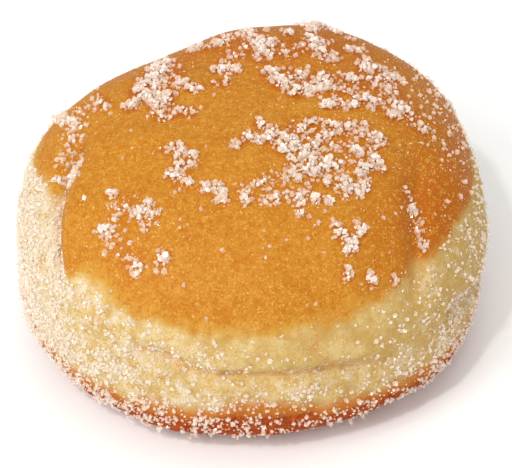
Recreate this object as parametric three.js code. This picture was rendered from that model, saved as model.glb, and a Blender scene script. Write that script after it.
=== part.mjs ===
// A sugared, jelly filled doughnut: one solid bun, fried on both faces, uncut and closed all round.
// Millimetres, +Z up. The origin is the middle of the flat foot, -Y is the front and +X the right.
import * as THREE from "three";
import { mergeVertices } from "three/addons/utils/BufferGeometryUtils.js";

// Driving dimensions of the mean section.
const bunRadius = 42.8; // mean radius of the widest ring
const waistHeight = 20.9; // height of the widest ring above the foot
const crownRise = 26.6; // from the waist to the top of the crown
const bellyDrop = 21.8; // from the waist to where the belly would close; the foot cuts it off just above
const crownFullness = 0.72; // 1 is an ellipse, less is fuller in the shoulder
const bellyFullness = 0.45;

// How far the real bun strays from a round one, as it proves and fries.
const outlineLobes = [
  { count: 2, share: 0.063, facing: 34 }, // an oval, longest from front left to back right
  { count: 3, share: 0.032, facing: -52 },
  { count: 4, share: 0.017, facing: -27 },
];
const crownLean = new THREE.Vector2(-3.1, 3.7); // how far the crown's top sits off the waist's middle

// Folds in the skin. Each runs through its [azimuth in degrees, height] points, dips by its depth and
// fades out at both ends; the skin above it stands out by its lip.
const folds = [
  // the seam between crown and belly, along the front
  {
    depth: 1.4,
    width: 2.0,
    lip: 0.4,
    path: [
      [-125, 24.3], [-118, 25.2], [-112, 24.9], [-106, 22.7], [-99, 22], [-90, 21.8],
      [-82, 21.4], [-74, 21], [-66, 20.5], [-58, 19.4], [-48, 17.5],
    ],
  },
  // the same seam where it opens again round the right side
  {
    depth: 1.7,
    width: 2.4,
    lip: 0.3,
    path: [[-38, 24], [-32, 21.5], [-25, 19], [-18, 17], [-6, 16.5], [14, 18], [32, 21]],
  },
  // and at the back
  {
    depth: 1.4,
    width: 2.4,
    lip: 0.3,
    path: [[62, 24], [92, 22.5], [118, 23], [146, 25]],
  },
  // the fold that parts the low left shoulder from the crown
  {
    depth: 2.0,
    width: 2.2,
    lip: 0.4,
    path: [
      [-141, 28.5], [-145, 32.2], [-148.5, 35.2], [-152, 37.4], [-156.5, 39.2],
      [-161.5, 40.8], [-166, 42.2], [-172, 43], [-188, 42.8],
    ],
  },
  // a shallow one up the right shoulder
  {
    depth: 1.2,
    width: 3.0,
    lip: 0,
    path: [[-50, 28], [-44, 32.5], [-39, 36.5], [-34, 39.4], [-26, 41.2], [-8, 42]],
  },
];
const foldEnds = 0.16; // the share of a fold's length over which either end fades out
const foldSteps = 80; // points that a fold's line is measured at

// Flatter places where the skin sank or was pressed.
const facets = [
  { depth: 1.7, reach: 11, azimuth: -172, height: 41 }, // the low shoulder on the left
  { depth: 1.2, reach: 11, azimuth: -27, height: 38 }, // the hollow on the right shoulder
  { depth: 0.8, reach: 13, azimuth: 62, height: 35 }, // the back right
  { depth: 1.1, reach: 17, azimuth: 135, height: 41 }, // the back left of the crown
  { depth: 0.9, reach: 15, azimuth: -130, height: 9 }, // under the front left
];

// Fineness of the mesh.
const roundSegments = 96;
const crownSteps = 24;
const bellySteps = 16;
const mergeGap = 1e-3;

const degrees = Math.PI / 180;

// The outline's radius as a share of the mean one, in the direction of an azimuth.
function outlineShare(azimuth) {
  let share = 1;
  for (const lobe of outlineLobes) {
    share += lobe.share * Math.cos(lobe.count * (azimuth - lobe.facing * degrees));
  }
  return share;
}

// The mean section at an angle from -90 degrees, under the bun, to 90 degrees, at its top.
function section(angle) {
  const across = Math.max(Math.cos(angle), 0);
  const along = Math.abs(Math.sin(angle));
  if (angle >= 0) {
    const height = waistHeight + crownRise * along ** crownFullness;
    return new THREE.Vector2(bunRadius * across ** crownFullness, height);
  }
  const height = waistHeight - bellyDrop * along ** bellyFullness;
  return new THREE.Vector2(bunRadius * across ** bellyFullness, Math.max(height, 0));
}

// The section's angle at a height.
function angleAt(height) {
  if (height >= waistHeight) {
    return Math.asin(((height - waistHeight) / crownRise) ** (1 / crownFullness));
  }
  return -Math.asin(((waistHeight - height) / bellyDrop) ** (1 / bellyFullness));
}

// Where a point of the mean section comes to lie once the outline's lobes and the lean are in.
function placed(azimuth, radius, height) {
  const spread = radius * outlineShare(azimuth);
  const rise = THREE.MathUtils.clamp((height - waistHeight) / crownRise, 0, 1);
  return new THREE.Vector3(
    spread * Math.cos(azimuth) + crownLean.x * rise ** 2,
    spread * Math.sin(azimuth) + crownLean.y * rise ** 2,
    height,
  );
}

function skinPoint(azimuthDegrees, height) {
  const mean = section(angleAt(height));
  return placed(azimuthDegrees * degrees, mean.x, mean.y);
}

// A fold's line, fine enough to measure distances to.
function foldLine(fold) {
  const along = new THREE.CatmullRomCurve3(fold.path.map(([az, h]) => new THREE.Vector3(az, h, 0)));
  return along.getPoints(foldSteps).map((p) => skinPoint(p.x, p.y));
}

// Moves a point in or out along its normal: into the folds and facets, and out at the folds' upper lips.
function relief(point, lines) {
  let shift = 0;
  folds.forEach((fold, i) => {
    let nearest = Infinity;
    let step = 0;
    lines[i].forEach((p, k) => {
      const gap = p.distanceTo(point);
      if (gap < nearest) {
        nearest = gap;
        step = k;
      }
    });
    const fromEnd = Math.min(step, foldSteps - step) / foldSteps;
    const share = THREE.MathUtils.smoothstep(fromEnd, 0, foldEnds);
    shift -= share * fold.depth * Math.exp(-((nearest / fold.width) ** 2));
    const above = point.z - lines[i][step].z;
    const lipGap = (nearest - 2 * fold.width) / fold.width;
    shift += share * fold.lip * Math.exp(-(lipGap ** 2)) * THREE.MathUtils.smoothstep(above, 0, fold.width);
  });
  for (const facet of facets) {
    const gap = skinPoint(facet.azimuth, facet.height).distanceTo(point);
    shift -= facet.depth * Math.exp(-((gap / facet.reach) ** 2));
  }
  return shift * THREE.MathUtils.smoothstep(point.z, 0, waistHeight / 2);
}

// The bun: the mean section turned on a lathe, then pushed to its real, uneven shape.
function bunGeometry() {
  const footEdge = angleAt(0);
  const profile = [new THREE.Vector2(0, 0)];
  for (let i = 0; i < bellySteps; i++) {
    profile.push(section(footEdge * (1 - i / bellySteps)));
  }
  for (let i = 0; i < crownSteps; i++) {
    profile.push(section((Math.PI / 2) * (i / crownSteps)));
  }
  profile.push(new THREE.Vector2(0, waistHeight + crownRise));

  const turned = new THREE.LatheGeometry(profile, roundSegments);
  turned.deleteAttribute("normal");
  turned.deleteAttribute("uv");
  turned.rotateX(Math.PI / 2);
  const geometry = mergeVertices(turned, mergeGap);
  const position = geometry.attributes.position;
  const point = new THREE.Vector3();
  for (let i = 0; i < position.count; i++) {
    point.fromBufferAttribute(position, i);
    const radius = Math.hypot(point.x, point.y);
    const azimuth = radius > 1e-6 ? Math.atan2(point.y, point.x) : 0;
    point.copy(placed(azimuth, radius, point.z));
    position.setXYZ(i, point.x, point.y, point.z);
  }
  geometry.computeVertexNormals();

  const lines = folds.map(foldLine);
  const normal = new THREE.Vector3();
  for (let i = 0; i < position.count; i++) {
    point.fromBufferAttribute(position, i);
    normal.fromBufferAttribute(geometry.attributes.normal, i);
    point.addScaledVector(normal, relief(point, lines));
    position.setXYZ(i, point.x, point.y, point.z);
  }
  geometry.computeBoundingBox();
  const middle = geometry.boundingBox.getCenter(new THREE.Vector3());
  geometry.translate(-middle.x, -middle.y, -geometry.boundingBox.min.z);
  geometry.computeVertexNormals();
  return geometry;
}

const doughnut = new THREE.Mesh(
  bunGeometry(),
  new THREE.MeshStandardMaterial({ color: 0xdd9440, roughness: 0.5, metalness: 0 }),
);
doughnut.name = "doughnut";

const model = new THREE.Group();
model.add(doughnut);
export default model;
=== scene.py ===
# A sugared, jelly filled doughnut, whole and uncut, standing on its fried base.
# Everything is in metres, +Z up. Shapes are worked out in millimetres and written to the meshes in metres.
import math

import bpy
import numpy as np
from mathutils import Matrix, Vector


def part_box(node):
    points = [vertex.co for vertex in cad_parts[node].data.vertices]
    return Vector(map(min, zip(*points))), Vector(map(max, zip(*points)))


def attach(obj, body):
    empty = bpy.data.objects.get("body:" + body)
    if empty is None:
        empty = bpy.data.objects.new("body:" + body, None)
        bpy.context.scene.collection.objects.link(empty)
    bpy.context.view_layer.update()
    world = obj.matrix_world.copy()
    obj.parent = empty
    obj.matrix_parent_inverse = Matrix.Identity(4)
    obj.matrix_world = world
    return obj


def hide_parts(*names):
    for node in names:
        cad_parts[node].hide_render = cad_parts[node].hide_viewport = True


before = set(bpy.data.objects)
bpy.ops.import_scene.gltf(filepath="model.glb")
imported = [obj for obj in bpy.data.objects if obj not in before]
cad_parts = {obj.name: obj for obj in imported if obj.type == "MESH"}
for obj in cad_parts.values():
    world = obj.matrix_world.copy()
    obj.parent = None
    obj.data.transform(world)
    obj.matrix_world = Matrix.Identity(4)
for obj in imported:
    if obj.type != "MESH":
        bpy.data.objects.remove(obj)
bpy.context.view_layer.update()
boxLow, boxHigh = (np.array(corner) * 1000 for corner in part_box("doughnut"))
print("frame loaded, the bun's box in mm:", np.round(boxHigh - boxLow, 1))


# 0 below low, 1 above high, and an s-curve between.
def smooth(value, low, high):
    share = np.clip((value - low) / (high - low), 0, 1)
    return share * share * (3 - 2 * share)


# A smooth random field with a spread of 1: many cosine waves of about one wavelength, in random
# directions, added up.
def ripple(points, wavelength, seed, waves=36):
    rng = np.random.default_rng(seed)
    direction = rng.normal(size=(waves, 3))
    direction /= np.linalg.norm(direction, axis=1, keepdims=True)
    turns = direction * (2 * math.pi / (wavelength * rng.uniform(0.75, 1.35, (waves, 1))))
    phase = rng.uniform(0, 2 * math.pi, waves)
    total = np.zeros(points.shape[:-1])
    for k in range(waves):
        total += np.cos(points @ turns[k] + phase[k])
    return total * math.sqrt(2 / waves)


# Puts vertices (n, 3) in mm and faces (m, sides) into a new mesh object.
def newPiece(name, points, faces, smoothShaded):
    mesh = bpy.data.meshes.new(name)
    sides = faces.shape[1]
    mesh.vertices.add(len(points))
    mesh.vertices.foreach_set("co", (points * 0.001).astype(np.float32).ravel())
    mesh.loops.add(faces.size)
    mesh.loops.foreach_set("vertex_index", faces.astype(np.int32).ravel())
    mesh.polygons.add(len(faces))
    mesh.polygons.foreach_set("loop_start", np.arange(0, faces.size, sides, dtype=np.int32))
    mesh.polygons.foreach_set("use_smooth", np.full(len(faces), smoothShaded))
    mesh.update(calc_edges=True)
    piece = bpy.data.objects.new(name, mesh)
    bpy.context.scene.collection.objects.link(piece)
    return piece


bun = {
    "radius": 42.8,  # mean radius of the widest ring
    "waistHeight": 20.9,  # height of that ring
    "crownRise": 26.6,  # from there to the top
    "bellyDrop": 21.8,  # from there to where the belly would close, just under the foot
    "crownFullness": 0.72,  # 1 is an ellipse, less is fuller
    "bellyFullness": 0.45,
    "lobes": [(2, 0.063, 34), (3, 0.032, -52), (4, 0.017, -27)],  # count, share of the radius, facing
    "crownLean": (-3.1, 3.7),
    "around": 470,  # columns of the skin
    "footRows": 8,
    "sideRows": 196,
}

# Folds in the skin, each fading out at both ends: depth, width, lip above the fold, depth of the narrow
# slit at its bottom, and the points (azimuth, height) that it runs through.
folds = [
    # the seam between crown and belly: in front, round the right side and at the back
    {"depth": 1.4, "width": 2.0, "lip": 0.4, "slit": 0.5,
     "path": [(-125, 24.3), (-118, 25.2), (-112, 24.9), (-106, 22.7), (-99, 22), (-90, 21.8), (-82, 21.4),
              (-74, 21), (-66, 20.5), (-58, 19.4), (-48, 17.5)]},
    {"depth": 1.7, "width": 2.4, "lip": 0.3, "slit": 0.5,
     "path": [(-38, 24), (-32, 21.5), (-25, 19), (-18, 17), (-6, 16.5), (14, 18), (32, 21)]},
    {"depth": 1.4, "width": 2.4, "lip": 0.3, "slit": 0.6,
     "path": [(62, 24), (92, 22.5), (118, 23), (146, 25)]},
    # the fold that parts the low left shoulder from the crown
    {"depth": 2.0, "width": 2.2, "lip": 0.4, "slit": 0.9,
     "path": [(-141, 28.5), (-145, 32.2), (-148.5, 35.2), (-152, 37.4), (-156.5, 39.2), (-161.5, 40.8),
              (-166, 42.2), (-172, 43), (-188, 42.8)]},
    # a shallow one up the right shoulder
    {"depth": 1.2, "width": 3.0, "lip": 0, "slit": 0.2,
     "path": [(-50, 28), (-44, 32.5), (-39, 36.5), (-34, 39.4), (-26, 41.2), (-8, 42)]},
]
foldEnds = 0.16  # the share of a fold's length over which either end fades out
slitWidth = 0.8

# Flatter places: depth, reach, azimuth, height.
facets = [
    (1.7, 11, -172, 41),
    (1.2, 11, -27, 38),
    (0.8, 13, 62, 35),
    (1.1, 17, 135, 41),
    (0.9, 15, -130, 9),
]

# The unevenness of fried dough.
dough = {
    "swells": [(0.16, 17, 1), (0.05, 6, 2)],  # long ones all over: height, wavelength, seed
    # a finer grain: height, what the pale waist adds to it, wavelength, seed
    "grain": [(0.012, 0.05, 2.6, 3), (0.008, 0.03, 1.4, 4)],
}


# The mean section: an ellipse's radius and height raised to the fullness of the crown or of the belly,
# the belly cut flat at the foot. The angle runs from -90 degrees below to 90 at the top.
def section(angle):
    across = np.maximum(np.cos(angle), 0)
    along = np.abs(np.sin(angle))
    crown = angle >= 0
    fullness = np.where(crown, bun["crownFullness"], bun["bellyFullness"])
    reach = np.where(crown, bun["crownRise"], -bun["bellyDrop"])
    height = bun["waistHeight"] + reach * along ** fullness
    return bun["radius"] * across ** fullness, np.maximum(height, 0)


# The section's angle at a height: the section's own formula turned round.
def angleAt(height):
    above = np.clip((height - bun["waistHeight"]) / bun["crownRise"], 0, 1)
    below = np.clip((bun["waistHeight"] - height) / bun["bellyDrop"], 0, 1)
    return np.arcsin(above ** (1 / bun["crownFullness"])) - np.arcsin(below ** (1 / bun["bellyFullness"]))


# A point of the mean section at an azimuth: its radius grows by the lobes' cosines, and the crown leans
# over by the square of its rise.
def placed(azimuth, radius, height):
    spread = radius * (1 + sum(share * np.cos(count * (azimuth - math.radians(facing)))
                               for count, share, facing in bun["lobes"]))
    rise = np.clip((height - bun["waistHeight"]) / bun["crownRise"], 0, 1) ** 2
    leanX, leanY = bun["crownLean"]
    return np.stack([spread * np.cos(azimuth) + leanX * rise, spread * np.sin(azimuth) + leanY * rise,
                     height + 0 * spread], -1)


# The points where (azimuth in degrees, height) lies on the unfolded skin.
def onSkin(azimuth, height):
    radius, level = section(angleAt(np.asarray(height, float)))
    return placed(np.radians(azimuth), radius, level)


# A fold's line: its points joined by a smooth curve in azimuth and height, laid on the skin.
def foldLine(path, steps=160):
    knots = np.array(path, float)
    ends = np.vstack([2 * knots[0] - knots[1], knots, 2 * knots[-1] - knots[-2]])
    at = np.linspace(0, len(knots) - 1, steps)
    k = np.minimum(at.astype(int), len(knots) - 2)
    t = (at - k)[:, None]
    a, b, c, d = (ends[k + i] for i in range(4))
    curve = 0.5 * (2 * b + (c - a) * t + (2 * a - 5 * b + 4 * c - d) * t ** 2
                   + (3 * b - a - 3 * c + d) * t ** 3)
    return onSkin(curve[:, 0], curve[:, 1])


# For each point, how far a line is from it, how far above the line's nearest point it lies, and how fully
# the fold is there, from 0 at the line's ends to 1.
def fromLine(points, line):
    flat = points.reshape(-1, 3)
    nearest = np.full(len(flat), np.inf)
    step = np.zeros(len(flat), int)
    for k, spot in enumerate(line):
        gap = np.linalg.norm(flat - spot, axis=1)
        closer = gap < nearest
        nearest[closer] = gap[closer]
        step[closer] = k
    above = flat[:, 2] - line[step, 2]
    last = len(line) - 1
    full = smooth(np.minimum(step, last - step) / last, 0, foldEnds)
    return [values.reshape(points.shape[:-1]) for values in (nearest, above, full)]


# Outward unit normals of a grid of points: the cross product of its steps around and up.
def gridNormals(points):
    around = np.roll(points, -1, 1) - np.roll(points, 1, 1)
    upward = np.gradient(points, axis=0)
    normal = np.cross(around, upward)
    return normal / np.maximum(np.linalg.norm(normal, axis=-1, keepdims=True), 1e-9)


# A wave round the bun: its height, how often it comes round, and the azimuth in degrees that it tops at.
def wave(azimuth, rise, count, facing):
    return rise * np.cos(count * (azimuth - math.radians(facing)))


# Where the browned crown and the browned base end: mean heights, slow waves round the bun (rise, how
# often, facing), and places where the edge rises or falls (rise, facing, the cosine where it fades out).
edges = {
    "crown": 34.5,
    "crownWaves": [(2.6, 1, 134), (0.7, 2, -12), (1.4, 3, -37)],
    "crownPlaces": [(-2.2, 168, 0.9), (-2.4, -143, 0.992)],  # either side of the low left shoulder
    "base": 12.2,
    "baseWaves": [(0.5, 3, 10)],
    "basePlaces": [(2.4, -88, 0.965), (4, -176, 0.8), (-1.2, -138, 0.9)],  # in front, left, between them
}


# An edge's height at azimuths in radians: its mean height and waves, with its smooth rises and falls.
def edgeHeight(azimuth, edge):
    waves = sum(wave(azimuth, *values) for values in edges[edge + "Waves"])
    places = sum(rise * smooth(wave(azimuth, 1, 1, facing), fade, 1)
                 for rise, facing, fade in edges[edge + "Places"])
    return edges[edge] + waves + places


# The bun's skin as a grid of rows from the foot's middle to the top and columns round it: the placed
# section, pushed along its normals by the folds, the flatter places and the dough's unevenness. A fold is
# a trough that falls off with the square of the distance from its line, with a lip above and a slit below.
def bunGrid():
    footAngle = float(angleAt(0.0))
    fine = np.linspace(footAngle, math.pi / 2, 4000)
    radius, height = section(fine)
    length = np.concatenate([[0], np.cumsum(np.hypot(np.diff(radius), np.diff(height)))])
    even = np.linspace(0, length[-1], bun["sideRows"] + 1)[:-1]
    sideRadius = np.interp(even, length, radius)
    sideHeight = np.interp(even, length, height)
    footRadius = sideRadius[0] * (np.arange(1, bun["footRows"]) / bun["footRows"])
    rowRadius = np.concatenate([footRadius, sideRadius])
    rowHeight = np.concatenate([0 * footRadius, sideHeight])

    azimuth = np.linspace(-math.pi, math.pi, bun["around"], endpoint=False)
    points = placed(azimuth[None, :], rowRadius[:, None], rowHeight[:, None])
    normal = gridNormals(points)
    normal[: len(footRadius)] = (0, 0, -1)

    shift = np.zeros(points.shape[:2])
    slit = np.zeros(points.shape[:2])
    for fold in folds:
        gap, above, full = fromLine(points, foldLine(fold["path"]))
        width = fold["width"]
        shift -= full * fold["depth"] * np.exp(-(gap / width) ** 2)
        shift += full * fold["lip"] * np.exp(-((gap - 2 * width) / width) ** 2) * smooth(above, 0, width)
        cut = full * np.exp(-(gap / slitWidth) ** 2) * (0.75 + 0.25 * ripple(points, 6, 5))
        shift -= fold["slit"] * cut
        slit = np.maximum(slit, cut * min(fold["slit"], 1))
    for depth, reach, facing, level in facets:
        gap = np.linalg.norm(points - onSkin(facing, level), axis=-1)
        shift -= depth * np.exp(-(gap / reach) ** 2)
    coarse = shift * smooth(rowHeight, 0, bun["waistHeight"] / 2)[:, None]

    pale = smooth(edgeHeight(azimuth, "crown") - rowHeight[:, None], -1, 2)
    swell = sum(height * ripple(points, length, seed) for height, length, seed in dough["swells"])
    grain = sum((height + more * pale) * ripple(points, length, seed)
                for height, more, length, seed in dough["grain"])
    coarse += (swell + grain) * smooth(rowHeight, 0.5, 5)[:, None]
    points = points + normal * coarse[..., None]

    foldedNormal = gridNormals(points)
    foldedNormal[: len(footRadius)] = (0, 0, -1)
    return points, foldedNormal, azimuth, slit


skinPoints, skinNormals, skinAzimuth, skinSlit = bunGrid()
ownLow = skinPoints.reshape(-1, 3).min(0)
ownHigh = skinPoints.reshape(-1, 3).max(0)
skinPoints += [*((boxLow + boxHigh - ownLow - ownHigh)[:2] / 2), boxLow[2] - ownLow[2]]
print("skin grid:", skinPoints.shape[:2])
print("off the frame's box by", np.round(ownHigh - ownLow - boxHigh + boxLow, 2))


# The skin's mesh: quads between the rows and columns, each cut in two, and a fan of triangles at either
# pole. Its attributes tell the crust's material where it is.
def makeSkin():
    rows, columns = skinPoints.shape[:2]
    index = np.arange(rows * columns).reshape(rows, columns)
    right = np.roll(index, -1, 1)
    quads = np.stack([index[:-1], right[:-1], right[1:], index[1:]], -1).reshape(-1, 4)
    poles = np.array([skinPoints[0].mean(0), skinPoints[-1].mean(0)])
    poles[1, 2] += 0.01
    points = np.vstack([skinPoints.reshape(-1, 3), poles])
    below, above = rows * columns, rows * columns + 1
    fans = np.vstack([
        np.stack([right[0], index[0], np.full(columns, below)], -1),
        np.stack([index[-1], right[-1], np.full(columns, above)], -1),
    ])
    triangles = np.vstack([quads[:, [0, 1, 2]], quads[:, [0, 2, 3]], fans])
    piece = newPiece("doughnut_skin", points, triangles, True)

    azimuth = skinAzimuth[None, :]
    height = skinPoints[..., 2]
    # the crown's edge is crisper at the left and on the right
    sharp = 1 + 2 * smooth(wave(azimuth, 1, 1, -163), 0.85, 1) + smooth(wave(azimuth, 1, 1, 5), 0.6, 1)
    fields = {
        "aboveCrownEdge": (height - edgeHeight(azimuth, "crown")) * sharp,
        "belowBaseEdge": edgeHeight(azimuth, "base") - height,
        "slit": skinSlit,
        "frost": np.clip(1.15 * coatDensity(), 0, 1),
        # painted shade on the right and in the shoulder's hollow, and darkening at the back and round the
        # sugar
        "darkeningAndShade": darkeningAndPaintedShade(),
    }
    for name, value in fields.items():
        ends = [value[0].mean(), value[-1].mean()]
        attribute = piece.data.attributes.new(name, "FLOAT", "POINT")
        attribute.data.foreach_set("value", np.concatenate([value.ravel(), ends]).astype(np.float32))
    return piece


# A node with its inputs set by name or number; a value that is another node's output is linked.
def addNode(tree, kind, inputs=None, **settings):
    made = tree.nodes.new(kind)
    for name, value in settings.items():
        setattr(made, name, value)
    for name, value in (inputs or {}).items():
        if isinstance(value, bpy.types.NodeSocket):
            tree.links.new(value, made.inputs[name])
        else:
            made.inputs[name].default_value = value
    return made


# A new node material and its Principled shader.
def newMaterial(name):
    material = bpy.data.materials.new(name)
    material.use_nodes = True
    shader = next(n for n in material.node_tree.nodes if n.type == "BSDF_PRINCIPLED")
    return material, shader


# A screen colour (0 to 255) as the linear colour that a shader takes.
def colour(red, green, blue):
    screen = np.array([red, green, blue]) / 255
    linear = np.where(screen <= 0.04045, screen / 12.92, ((screen + 0.055) / 1.055) ** 2.4)
    return (*linear, 1)


# The crust: crown, waist and base in their own colours, which meet at the two edges that the attributes
# give, with noise added to the heights so that the edges wander. Fine noise mottles each.
def crustMaterial():
    look = {
        "gold": colour(184, 120, 33),
        "goldLight": colour(198, 143, 54),
        "goldDeep": colour(171, 97, 8),
        # the colour of the crown's painted shade and of its darker places at the back and round the sugar
        "darkeningAndShade": colour(170, 86, 8),
        "paleGold": colour(191, 141, 54),
        "cream": colour(202, 175, 117),
        # a darker cream: random patches, and painted shade on the waist's right
        "darkCreamAndShade": colour(184, 148, 80),
        "frost": colour(212, 197, 170),
        "tan": colour(182, 108, 37),
        "rim": colour(164, 68, 10),
        "rimDark": colour(139, 50, 6),
        "slit": colour(206, 128, 62),
        "fleck": colour(217, 170, 97),
        "pinSpot": colour(81, 41, 15),
    }
    material, shader = newMaterial("crust")
    tree = material.node_tree
    place = addNode(tree, "ShaderNodeTexCoord").outputs["Object"]

    def noise(scale, detail=2.0, rough=0.5):
        settings = {"Vector": place, "Scale": scale, "Detail": detail, "Roughness": rough}
        return addNode(tree, "ShaderNodeTexNoise", settings).outputs["Fac"]

    def field(name):
        return addNode(tree, "ShaderNodeAttribute", attribute_name=name).outputs["Fac"]

    def sums(operation, a, b, c=0.0):
        made = addNode(tree, "ShaderNodeMath", {0: a, 1: b, 2: c}, operation=operation)
        return made.outputs[0]

    def between(value, low, high, first=0.0, last=1.0):
        ends = {"Value": value, "From Min": low, "From Max": high, "To Min": first, "To Max": last}
        return addNode(tree, "ShaderNodeMapRange", ends, interpolation_type="SMOOTHSTEP").outputs["Result"]

    def blend(share, first, second):
        made = addNode(tree, "ShaderNodeMix", {0: share, 6: first, 7: second}, data_type="RGBA")
        return made.outputs[2]

    broad = noise(60, 1.0)
    patch = noise(210, 3.0, 0.6)
    mottle = noise(900, 2.0, 0.6)
    grit = noise(2400, 1.0)
    speckle = sums("MULTIPLY_ADD", mottle, 0.5, sums("MULTIPLY", grit, 0.5))
    darkeningAndShade = field("darkeningAndShade")
    frost = field("frost")

    # The crown, from its pale lower edge to the deep gold of its top.
    wander = sums("MULTIPLY_ADD", broad, 2.4, sums("MULTIPLY_ADD", patch, 4.4, -3.4))
    ragged = sums("MULTIPLY_ADD", speckle, 3.0, -1.5)
    height = sums("ADD", sums("ADD", field("aboveCrownEdge"), wander), ragged)
    crown = blend(between(height, 0.3, 3.6), look["paleGold"], look["gold"])
    crown = blend(between(patch, 0.46, 0.72, 0, 0.4), crown, look["goldDeep"])
    # painted shade on the right and in the shoulder's hollow, and darker at the back and round the sugar
    crown = blend(between(darkeningAndShade, 0, 1, 0, 0.9), crown, look["darkeningAndShade"])
    crown = blend(between(speckle, 0.5, 0.64, 0, 0.7), crown, look["goldLight"])
    crown = blend(between(speckle, 0.5, 0.36, 0, 0.7), crown, look["goldDeep"])
    waist = blend(between(patch, 0.4, 0.65), look["cream"], look["darkCreamAndShade"])
    # painted shade on the waist's right, and darker at the back, from the same field as the crown's
    waist = blend(between(darkeningAndShade, 0.1, 0.9, 0, 0.85), waist, look["darkCreamAndShade"])
    waist = blend(between(speckle, 0.53, 0.38, 0, 0.6), waist, look["darkCreamAndShade"])
    waist = blend(between(noise(330, 1.0), 0.6, 0.75, 0, 0.3), waist, look["tan"])
    powder = sums("MULTIPLY", frost, between(sums("MULTIPLY_ADD", frost, 0.16, speckle), 0.46, 0.62))
    waist = blend(powder, waist, look["frost"])
    skin = blend(between(height, -1.2, 1.3), waist, crown)

    # The base, from a tan edge to red brown.
    rough = sums("MULTIPLY_ADD", patch, 5.0, sums("MULTIPLY_ADD", speckle, 3.0, -4.0))
    depth = sums("ADD", field("belowBaseEdge"), rough)
    skin = blend(between(depth, -2.8, 0.8), skin, look["tan"])
    base = blend(between(mottle, 0.42, 0.62), look["rim"], look["rimDark"])
    skin = blend(between(depth, 0.6, 3.6), skin, base)

    # Colour of the folds, light flecks and a few burnt pin spots.
    paleFold = sums("MULTIPLY", field("slit"), between(height, 1.5, -1.5, 0.1, 0.8))
    skin = blend(paleFold, skin, look["slit"])
    skin = blend(between(grit, 0.66, 0.78, 0, 0.7), skin, look["fleck"])
    spots = addNode(tree, "ShaderNodeTexVoronoi", {"Vector": place, "Scale": 85.0, "Randomness": 1.0})
    skin = blend(between(spots.outputs["Distance"], 0.05, 0.03, 0, 0.7), skin, look["pinSpot"])
    tree.links.new(skin, shader.inputs["Base Color"])

    dull = between(height, 1.5, -1.5, 0.5, 0.75)
    tree.links.new(sums("MULTIPLY_ADD", speckle, 0.2, sums("ADD", dull, -0.1)), shader.inputs["Roughness"])
    bump = addNode(tree, "ShaderNodeBump", {"Height": speckle, "Strength": 0.5, "Distance": 0.0005})
    tree.links.new(bump.outputs["Normal"], shader.inputs["Normal"])
    shader.inputs["Subsurface Weight"].default_value = 0.1
    shader.inputs["Subsurface Radius"].default_value = (1.0, 0.5, 0.25)
    shader.inputs["Subsurface Scale"].default_value = 0.0012
    shader.inputs["Specular IOR Level"].default_value = 0.12
    return material


# Each sugar's tint, and how solid it is.
sugars = {
    "clear": (colour(255, 237, 218), 0.34),
    "heaped": (colour(255, 241, 229), 0.62),
    "coat": (colour(248, 233, 214), 0.5),
    "rim": (colour(255, 234, 218), 0.42),
    "fine": (colour(255, 228, 180), 0.5),
}


# Sugar of one kind: glossy, and see-through so far as it isn't solid.
def sugarMaterial(kind):
    tint, solid = sugars[kind]
    material, shader = newMaterial(kind + "_sugar")
    shader.inputs["Base Color"].default_value = tint
    shader.inputs["Alpha"].default_value = solid
    shader.inputs["Roughness"].default_value = 0.1
    shader.inputs["IOR"].default_value = 1.56
    shader.inputs["Specular IOR Level"].default_value = 1.0
    return material


block = {
    "depth": 0.82,  # across the block, as a share of its width
    "lowEnd": (0.8, -0.72),  # width and place of either end
    "highEnd": (1.0, 0.38),
    "askew": (0, 8, -8, 0, 8, -8),  # how far each corner is turned off a true hexagon, degrees
}


# A crystal before it is stretched and turned: a six-sided block that narrows to one end, with flat ends,
# so 12 corners and 20 triangles.
def crystal():
    turn = np.radians(np.arange(6) * 60 + np.array(block["askew"]))
    ring = np.stack([np.cos(turn), block["depth"] * np.sin(turn)], -1)
    corners = np.vstack([np.column_stack([ring * width, np.full(6, level)])
                         for width, level in (block["lowEnd"], block["highEnd"])])
    side = [(k, (k + 1) % 6, (k + 1) % 6 + 6, k + 6) for k in range(6)]
    faces = [(a, b, c) for a, b, c, d in side] + [(a, c, d) for a, b, c, d in side]
    faces += [(0, k + 1, k) for k in range(1, 5)] + [(6, k + 6, k + 7) for k in range(1, 5)]
    return corners, np.array(faces)


# Random turns, as matrices: four normal draws each, scaled to a unit quaternion.
def randomTurns(count, rng):
    w, x, y, z = (rng.normal(size=(4, count)))
    size = np.sqrt(w * w + x * x + y * y + z * z)
    w, x, y, z = w / size, x / size, y / size, z / size
    return np.array([
        [1 - 2 * (y * y + z * z), 2 * (x * y - z * w), 2 * (x * z + y * w)],
        [2 * (x * y + z * w), 1 - 2 * (x * x + z * z), 2 * (y * z - x * w)],
        [2 * (x * z - y * w), 2 * (y * z + x * w), 1 - 2 * (x * x + y * y)],
    ]).transpose(2, 0, 1)


# One piece of many crystals: each is the block stretched along its own axes, its corners knocked a
# little off, turned at random and carried to its centre.
def grainPiece(name, centres, sizes, seed):
    rng = np.random.default_rng(seed)
    corners, faces = crystal()
    count = len(centres)
    stretch = rng.uniform(0.7, 1.15, (count, 1, 3))
    knocked = corners * stretch + rng.normal(0, 0.09, (count, len(corners), 3))
    turned = np.einsum("nij,nkj->nki", randomTurns(count, rng), knocked)
    points = centres[:, None] + turned * (sizes[:, None, None] / 2)
    allFaces = faces[None] + (np.arange(count) * len(corners))[:, None, None]
    return newPiece(name, points.reshape(-1, 3), allFaces.reshape(-1, 3), False)


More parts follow.
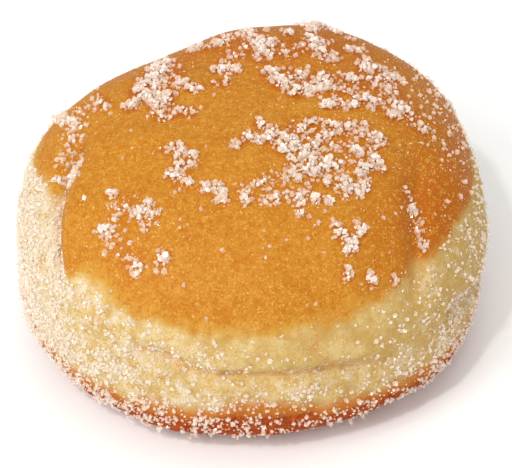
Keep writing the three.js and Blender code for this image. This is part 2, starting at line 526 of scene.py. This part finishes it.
# Scatters points on the skin, so many to a square millimetre: quads are drawn by their area times the
# density at their corners, and a point lies at random in its quad. Returns places and normals.
def scattered(density, seed):
    rng = np.random.default_rng(seed)
    right = np.roll(skinPoints, -1, 1)
    corner = [skinPoints[:-1], right[:-1], right[1:], skinPoints[1:]]
    area = np.linalg.norm(np.cross(corner[2] - corner[0], corner[3] - corner[1]), axis=-1) / 2
    lows = density[:-1]
    highs = np.roll(density, -1, 1)[1:]
    total = np.cumsum((area * (lows + highs) / 2).ravel())
    count = int(total[-1])
    drawn = np.searchsorted(total, rng.uniform(0, total[-1], count))
    row, column = np.unravel_index(drawn, area.shape)
    u, v = rng.uniform(0, 1, (2, count, 1))

    def mixed(values):
        shifted = np.roll(values, -1, 1)
        return ((1 - u) * (1 - v) * values[row, column] + u * (1 - v) * shifted[row, column]
                + u * v * shifted[row + 1, column] + (1 - u) * v * values[row + 1, column])

    normal = mixed(skinNormals)
    normal /= np.linalg.norm(normal, axis=1, keepdims=True)
    return mixed(skinPoints), normal, mixed(density[..., None])[:, 0]


# Keeps one point in each cell of a grid of cubes, for several grids laid askew, so that few stay closer
# than the spacing.
def thinned(points, spacing, passes=2):
    kept = np.arange(len(points))
    for k in range(passes):
        cell = np.floor(points[kept] / spacing + k * np.array([0.5, 0.37, 0.61])).astype(np.int64)
        kept = kept[np.sort(np.unique(cell, axis=0, return_index=True)[1])]
    return kept


# Where sugar lies in streaks on the crown: how thickly, half the streak's width, and the points (x, y)
# that it runs through, seen from above.
streaks = [
    # back left of the crown
    (1.2, 2.5, [(-17, 17.5), (-18, 13), (-20.5, 9), (-17, 6), (-16, 0.5)]),
    (0.9, 1.6, [(-20.5, 8), (-22.5, 4)]),
    (0.8, 1.9, [(-13.5, 9.5), (-10.5, 8)]),
    (0.8, 1.9, [(-15, 1), (-11.5, 0.5)]),
    (0.5, 2.0, [(-29, 10), (-27, 6)]),
    # along the back
    (0.9, 1.6, [(-11.5, 23), (-7, 23), (-4, 25.5), (0, 28.5)]),
    (0.9, 2.1, [(-0.5, 24.5), (3, 21), (2, 17)]),
    (0.7, 1.3, [(-5.5, 17), (-2.5, 17.5)]),
    (1.1, 1.4, [(-6.5, 13.5), (-3, 13)]),
    (1.1, 1.4, [(-6.5, 9), (-5.5, 9)]),
    (0.9, 1.4, [(6, 18.5), (6.5, 17.5)]),
    (0.55, 1.4, [(6.5, 26.6), (7, 26)]),
    (0.75, 1.3, [(11.5, 30), (12, 26)]),
    (0.5, 1.6, [(15, 31), (18.5, 27.5)]),
    (1.2, 2.2, [(11.5, 24), (12.5, 20.5), (14.5, 19)]),
    (0.9, 1.4, [(18, 22.5), (20.5, 23)]),
    # across the top, from its middle to the right
    (1.2, 2.1, [(3.5, 12), (5, 9.5), (8, 6.5), (12.5, 8.5), (15, 7.5)]),
    (0.8, 1.7, [(8, 11), (13, 11.5)]),
    (1.1, 1.5, [(16, 12), (18.5, 11.5)]),
    (0.9, 1.5, [(17, 7.5), (19, 7.5)]),
    (0.8, 2.0, [(21, 19.5), (21, 16), (24.5, 17.5), (26.5, 16)]),
    (0.7, 1.8, [(21, 12), (25, 14.5), (25.5, 11)]),
    (0.9, 1.6, [(13.5, 3), (18.5, 4), (21, 6.5), (22, 4.5), (25, 6), (28, 4.5), (30.5, 1.5)]),
    (0.9, 1.2, [(24, 4), (25.5, 2), (28, 3.5)]),
    # the large patch right of the middle
    (0.9, 1.6, [(-3, -8.5), (-0.5, -6.5), (4, -8)]),
    (1.0, 1.5, [(1.5, -3), (4, -6.5)]),
    (1.9, 2.9, [(6.5, -8.5), (9, -10.5), (8.8, -15)]),
    (1.5, 2.6, [(10.5, -9.5), (11.5, -13)]),
    (0.6, 2.6, [(12, -6.5), (15.5, -8.5), (19, -9)]),
    (0.75, 2.2, [(8, -4.5), (12, -6.5), (15, -5)]),
    (1.1, 1.8, [(12, -11), (15.5, -12.5)]),
    (1.0, 1.7, [(11, -13), (13.5, -16.5), (17.5, -17)]),
    (0.62, 1.8, [(10, -2), (15.5, -3), (20, -1.5)]),
    (0.74, 1.8, [(18.5, -3.5), (23, -5), (21, -8), (22.5, -11.5)]),
    (1.6, 2.4, [(16.5, -17), (18.5, -16)]),
    (1.0, 2.2, [(18.5, -15.5), (20.5, -11)]),
    # loose crystals between the clumps
    (0.4, 5.5, [(8, -5), (17, -5), (18, -12)]),
    (0.38, 4.5, [(-1, -20), (4, -18), (9, -20)]),
    (0.38, 5.0, [(5, 11), (14, 9), (24, 13), (27, 4)]),
    (0.32, 4.0, [(-3, 21), (6, 20), (13, 24)]),
    (0.36, 4.0, [(-15, 14), (-17, 3)]),
    (0.4, 4.0, [(-31, 8), (-33, 2), (-33, -6)]),
    (0.36, 3.5, [(-13, -10), (-12, -18)]),
    (0.36, 4.0, [(-23, -20), (-24, -27), (-21, -31)]),
    # the crown's front
    (0.85, 1.6, [(1.5, -21.5), (5, -21), (8.5, -20.5), (8.5, -23)]),
    (0.5, 2.4, [(1, -18), (5, -16.5)]),
    (0.9, 1.2, [(10.5, -20.5), (13.5, -20.5)]),
    (1.1, 1.2, [(-1.5, -20), (-1.2, -21.5)]),
    (1.0, 1.6, [(15, -25.5), (17, -28), (18.5, -25)]),
    (0.9, 1.0, [(16.5, -31.5), (16, -32.5)]),
    (0.9, 1.0, [(20.5, -31.5), (20.8, -31.8)]),
    (0.9, 0.8, [(25, -30), (25.2, -30)]),
    (0.55, 1.4, [(28, -14), (29, -18), (30.5, -22)]),
    # front left
    (1.0, 1.2, [(-15.5, -9.5), (-13.5, -8.5)]),
    (1.0, 1.8, [(-12, -10), (-14, -14.5), (-12, -17.5)]),
    (1.0, 1.1, [(-10.5, -10.5), (-11, -13.5)]),
    (1.2, 1.5, [(-8.5, -19), (-6, -18.5), (-5.5, -21.5)]),
    (1.0, 1.2, [(-25.5, -18), (-24.5, -18)]),
    (0.9, 1.0, [(-25, -20.5), (-21.5, -21.5)]),
    (1.3, 1.9, [(-19, -22.5), (-17.5, -23.5), (-18.5, -25)]),
    (1.1, 1.6, [(-26, -24.5), (-25, -25.5)]),
    (1.1, 1.4, [(-15.5, -31), (-15.5, -32)]),
    (1.1, 1.2, [(-20, -32), (-19.8, -32.2)]),
    # the low left shoulder
    (1.1, 1.9, [(-36, 10.5), (-34.5, 6.5), (-32, 3)]),
    (0.9, 1.3, [(-34.5, -4), (-31.5, -7), (-32, -10.5)]),
    (0.8, 1.2, [(-35.5, -7.5), (-34, -9)]),
]


# How thickly the streaks lie at the skin's points: each falls off with the square of the distance from
# its line. Ripples take their place at the back, out of the front's reach.
def streakHills():
    hills = np.zeros(skinPoints.shape[:2])
    flat = skinPoints[..., :2]
    for weight, width, path in streaks:
        gap = np.full(hills.shape, np.inf)
        for start, end in zip(np.array(path[:-1], float), np.array(path[1:], float)):
            way = end - start
            along = np.clip(((flat - start) @ way) / (way @ way), 0, 1)
            gap = np.minimum(gap, np.linalg.norm(flat - start - along[..., None] * way, axis=-1))
        hills = np.maximum(hills, weight * np.exp(-(gap / (0.8 * width)) ** 2))
    back = smooth(skinPoints[..., 1], 29, 37) * smooth(ripple(skinPoints, 9, 21), 0.7, 1.6)
    return np.maximum(hills, back) * smooth(skinPoints[..., 2] - edgeHeight(skinAzimuth, "crown"), -1, 1)


# Darkening of the crown beyond its usual gold, from 0 to 1: painted shade on the right and in the
# shoulder's hollow; darker at the back and round the sugar.
shadeAndDarkening = {
    # painted shade on the crown's right side
    "right": 0.9,
    "back": 0.6,
    "sugarFront": 0.45,  # round the sugar in front; it is 1 at the back
    # painted shade in the hollow of the right shoulder
    "hollow": 0.35,
    "hollowAt": (30, -16, 39),
    "hollowReach": 7,
}


# The crown's darkening: painted shade on the right and in the hollow of the right shoulder, and darker at
# the back and round the sugar, most so at the back. Each is a smooth step in x, in y or in how thickly the
# sugar lies; the painted shade of the hollow falls off with the square of the distance.
def darkeningAndPaintedShade():
    x = skinPoints[..., 0]
    y = skinPoints[..., 1]
    right = shadeAndDarkening["right"] * smooth(x - 0.2 * y, 16, 44)
    back = shadeAndDarkening["back"] * smooth(y, 0, 28)
    inFront = shadeAndDarkening["sugarFront"]
    sugared = smooth(hills, 0.01, 0.4) * (inFront + (1 - inFront) * smooth(y, -18, 8))
    sugared *= smooth(x, -34, -22)
    gap = np.linalg.norm(skinPoints - shadeAndDarkening["hollowAt"], axis=-1)
    hollow = shadeAndDarkening["hollow"] * np.exp(-(gap / shadeAndDarkening["hollowReach"]) ** 2)
    return np.clip(np.maximum(right, back) + hollow + sugared, 0, 1)


# 1 with ripples of some heights, wavelengths and seeds added.
def patchy(breaks):
    return 1 + sum(height * ripple(skinPoints, length, seed) for height, length, seed in breaks)


# In this and the next dictionaries, sizes are in mm, numbers of crystals are to a square millimetre, a
# "smaller" above 1 makes small crystals commoner, and "standOff" is how far a crystal's centre stands off
# the skin, as a share of its size.
clumps = {
    "grain": (0.55, 1.4),  # smallest and largest crystal
    "smaller": 1.4,
    "standOff": 0.2,
    "spacing": 0.64,
    "breaks": [(0.42, 3.4, 22), (0.4, 1.8, 23)],  # ripples in the hills: height, wavelength, seed
    "edge": (0.45, 1.0),  # the broken hills' height where a clump begins and where it is thickest
    "most": 13,  # crystals strewn where it is thickest
    "heap": 0.8,  # how high they stand there
    "near": 1.1,  # lone crystals close to the clumps
    "lone": 0.02,  # and on the rest of the crown
    "shoulder": 0.25,  # and high on the right
    "whiteFrom": 0.55,  # the share of the thickest from where some crystals are white
    "whiteShare": 0.5,
}


# Thick and thin clumps. The hills are broken up by fine ripples; lone crystals lie round them. Crystals
# are strewn by that density, lifted at random where they lie thick, and thinned to their spacing.
def makeClumps(heaped, clear):
    broken = hills * patchy(clumps["breaks"])
    onCrown = smooth(skinPoints[..., 2] - edgeHeight(skinAzimuth, "crown"), -1, 2)
    shoulder = smooth(skinPoints[..., 0], 24, 34) * smooth(skinPoints[..., 1], -12, 2)
    lone = clumps["lone"] + clumps["near"] * smooth(hills, 0.1, 0.6) + clumps["shoulder"] * shoulder
    density = (clumps["most"] * smooth(broken, *clumps["edge"]) + lone) * onCrown
    place, normal, thick = scattered(density, 31)
    share = np.minimum(thick / clumps["most"], 1)
    rng = np.random.default_rng(32)
    lift = clumps["heap"] * share ** 2 * rng.uniform(0, 1, len(place)) ** 1.3
    low, high = clumps["grain"]
    sizes = low + (high - low) * rng.uniform(0, 1, len(place)) ** clumps["smaller"]
    centres = place + normal * (lift + clumps["standOff"] * sizes)[:, None]
    kept = thinned(centres, clumps["spacing"])
    white = (share[kept] > clumps["whiteFrom"]) & (rng.uniform(0, 1, len(kept)) < clumps["whiteShare"])
    finished(grainPiece("sugar_heaped", centres[kept[white]], sizes[kept[white]], 33), heaped)
    finished(grainPiece("sugar_clear", centres[kept[~white]], sizes[kept[~white]], 34), clear)


coat = {
    "grain": (0.42, 1.1),
    "smaller": 1.6,
    "standOff": 0.15,
    "spacing": 0.52,
    "most": 5.5,
    "heap": 0.2,
    "count": 9900,  # at most so many crystals in all
    # how fully each side is coated
    "everywhere": 0.06,
    "left": 1.1,
    "frontLeft": 0.28,
    "right": 0.2,
    "back": 0.5,
    "belowSeam": 0.2,
    "inFolds": 0.5,
    "breaks": [(0.3, 7, 41), (0.45, 2.6, 42)],
    "leastPatch": 0.4,  # what is left of the coat in its thinnest patches
}


# How fully sugar coats the pale waist, from 0 to 1: nearly all on the left and much at the back, little
# in front above the seam, some below it, and some caught in the seam.
def coatDensity():
    azimuth = skinAzimuth[None, :]
    height = skinPoints[..., 2]
    onWaist = smooth(edgeHeight(azimuth, "crown") - height, -0.8, 1.2) * smooth(height, 3, 9)
    left = smooth(wave(azimuth, 1, 1, 178), 0.62, 0.93)
    frontLeft = smooth(wave(azimuth, 1, 1, -138), 0.6, 1)
    right = smooth(wave(azimuth, 1, 1, -5), 0.5, 0.95)
    back = smooth(np.sin(azimuth), 0.1, 0.6)
    below = smooth(height, 24, 18)
    share = coat["everywhere"] + coat["left"] * left + coat["frontLeft"] * frontLeft
    share = share + coat["right"] * right + coat["back"] * back + coat["belowSeam"] * below
    patches = patchy(coat["breaks"])
    caught = coat["inFolds"] * skinSlit * smooth(ripple(skinPoints, 9, 43), -0.3, 0.9)
    return np.clip(share * np.maximum(patches, coat["leastPatch"]) + caught, 0.01, 1.3) * onWaist


# The coat of the waist: strewn by its density, a little heaped where it is thick.
def makeCoat(material):
    place, normal, thick = scattered(coat["most"] * coatDensity() ** 1.3, 44)
    rng = np.random.default_rng(45)
    low, high = coat["grain"]
    sizes = low + (high - low) * rng.uniform(0, 1, len(place)) ** coat["smaller"]
    heaped = coat["heap"] * rng.uniform(0, 1, len(place)) * np.minimum(thick / coat["most"], 1)
    lift = coat["standOff"] * sizes + heaped
    centres = place + normal * lift[:, None]
    kept = thinned(centres, coat["spacing"])[: coat["count"]]
    finished(grainPiece("sugar_coat", centres[kept], sizes[kept], 46), material)


crumbs = {
    "grain": (0.65, 1.35),
    "smaller": 1.5,
    "standOff": 0.2,
    "spacing": 0.7,
    "front": 0.17,  # crystals in front
    "sides": 0.34,  # and on the left and at the back
    "atFoot": 0.38,  # more just above the foot
    "heap": 0.7,
    "count": 9900,
}


# Sugar that stuck to the fried base: in small groups all round the rim, thickest just above the foot.
def makeRimSugar(material):
    azimuth = skinAzimuth[None, :]
    height = skinPoints[..., 2]
    onRim = smooth(edgeHeight(azimuth, "base") - height, -3, -1) * smooth(height, 0.5, 1.5)
    sides = np.maximum(smooth(wave(azimuth, 1, 1, 178), 0.5, 0.95), smooth(np.sin(azimuth), -0.1, 0.5))
    amount = crumbs["front"] + (crumbs["sides"] - crumbs["front"]) * sides
    amount = amount + crumbs["atFoot"] * smooth(height, 6, 2)
    groups = 0.12 + 2.6 * smooth(ripple(skinPoints, 3.4, 51) + 0.5 * ripple(skinPoints, 9, 52), 0.3, 1.4)
    place, normal, thick = scattered(onRim * amount * groups, 53)
    rng = np.random.default_rng(54)
    low, high = crumbs["grain"]
    sizes = low + (high - low) * rng.uniform(0, 1, len(place)) ** crumbs["smaller"]
    heaped = crumbs["heap"] * rng.uniform(0, 1, len(place)) ** 2 * np.minimum(thick, 1)
    lift = crumbs["standOff"] * sizes + heaped
    centres = place + normal * lift[:, None]
    kept = thinned(centres, crumbs["spacing"])
    kept = kept[centres[kept, 2] > sizes[kept] * 0.6][: crumbs["count"]]
    finished(grainPiece("sugar_rim", centres[kept], sizes[kept], 55), material)


dust = {
    "grain": (0.2, 0.46),
    "smaller": 2,
    "standOff": 0.2,
    "spacing": 0.4,
    "crown": 0.08,
    "near": 0.4,  # close to the clumps
    "shoulder": 0.4,  # on the right
    "waist": 0.8,
    "count": 9900,
}


# Fine sugar: thin on the crown, more round the clumps, on the right shoulder and on the waist.
def makeDust(material):
    onCrown = smooth(skinPoints[..., 2] - edgeHeight(skinAzimuth, "crown"), -1, 2)
    shoulder = smooth(skinPoints[..., 0], 16, 36)
    crown = dust["crown"] + dust["near"] * smooth(hills, 0.02, 0.6) + dust["shoulder"] * shoulder
    density = onCrown * crown * (1 + 0.6 * np.tanh(ripple(skinPoints, 8, 61)))
    waist = np.minimum(coatDensity() + 0.1 * (1 - onCrown), 0.8)
    density += dust["waist"] * waist * smooth(skinPoints[..., 2], 2, 9)
    place, normal = scattered(density, 62)[:2]
    rng = np.random.default_rng(63)
    low, high = dust["grain"]
    sizes = low + (high - low) * rng.uniform(0, 1, len(place)) ** dust["smaller"]
    centres = place + normal * (dust["standOff"] * sizes)[:, None]
    kept = thinned(centres, dust["spacing"])[: dust["count"]]
    finished(grainPiece("sugar_dust", centres[kept], sizes[kept], 64), material)


# Material, body and slot of a sugar piece.
def finished(piece, material):
    piece.data.materials.append(material)
    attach(piece, "root")
    print(piece.name, len(piece.data.polygons), "triangles")


hills = streakHills()
skin = makeSkin()
skin.data.materials.append(crustMaterial())
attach(skin, "root")
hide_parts("doughnut")
print("skin:", len(skin.data.polygons), "triangles")

clear = sugarMaterial("clear")
makeClumps(sugarMaterial("heaped"), clear)
makeCoat(sugarMaterial("coat"))
makeRimSugar(sugarMaterial("rim"))
makeDust(sugarMaterial("fine"))


studio = {
    "floorSize": 3.0,
    "floor": colour(246, 246, 245),
    "sky": 0.67,
    # name, direction it comes from, distance, size, power
    "lamps": [
        ("key", (-0.66, -0.55, 0.8), 0.9, 0.4, 2.95),
        ("fill", (0.0, -0.85, 0.75), 0.9, 0.5, 1.3),
        ("spark", (-0.3, -0.55, 1.0), 0.8, 0.05, 1.5),
        ("top", (0.15, 0.2, 1.0), 0.9, 0.6, 1.2),
    ],
}


# A pale floor, an even sky, and round lamps that face the bun from their directions.
def makeStudio():
    half = studio["floorSize"] / 2 * 1000
    corners = np.array([(-half, -half, 0), (half, -half, 0), (half, half, 0), (-half, half, 0)], float)
    floor = newPiece("floor", corners, np.array([[0, 1, 2, 3]]), False)
    material, shader = newMaterial("floor")
    shader.inputs["Base Color"].default_value = studio["floor"]
    shader.inputs["Roughness"].default_value = 0.9
    shader.inputs["Specular IOR Level"].default_value = 0.1
    floor.data.materials.append(material)

    world = bpy.data.worlds.new("studio")
    world.use_nodes = True
    world.node_tree.nodes["Background"].inputs["Color"].default_value = (1, 0.99, 0.97, 1)
    world.node_tree.nodes["Background"].inputs["Strength"].default_value = studio["sky"]
    bpy.context.scene.world = world

    for name, direction, distance, size, power in studio["lamps"]:
        data = bpy.data.lights.new(name, "AREA")
        data.shape = "DISK"
        data.size = size
        data.energy = power
        lamp = bpy.data.objects.new(name, data)
        lamp.location = Vector(direction).normalized() * distance
        lamp.rotation_euler = Vector(direction).to_track_quat("Z", "Y").to_euler()
        bpy.context.scene.collection.objects.link(lamp)
    print("studio:", len(studio["lamps"]), "lamps")


view = {
    "elevation": 42,  # degrees above the horizon
    "distance": 0.435,
    "lens": 162.3,
    "sensor": 36,
    "aim": (0.0006, -0.0025, 0.0203),
}


# The camera stands in front and looks down: its place is the aim point plus a distance along the view.
def makeCamera():
    data = bpy.data.cameras.new("camera")
    data.sensor_width = view["sensor"]
    data.lens = view["lens"]
    camera = bpy.data.objects.new("camera", data)
    tilt = math.radians(view["elevation"])
    back = Vector((0, -math.cos(tilt), math.sin(tilt)))
    camera.location = Vector(view["aim"]) + back * view["distance"]
    camera.rotation_euler = back.to_track_quat("Z", "Y").to_euler()
    bpy.context.scene.collection.objects.link(camera)
    bpy.context.scene.camera = camera


makeStudio()
makeCamera()
bpy.context.scene.view_settings.view_transform = "Standard"
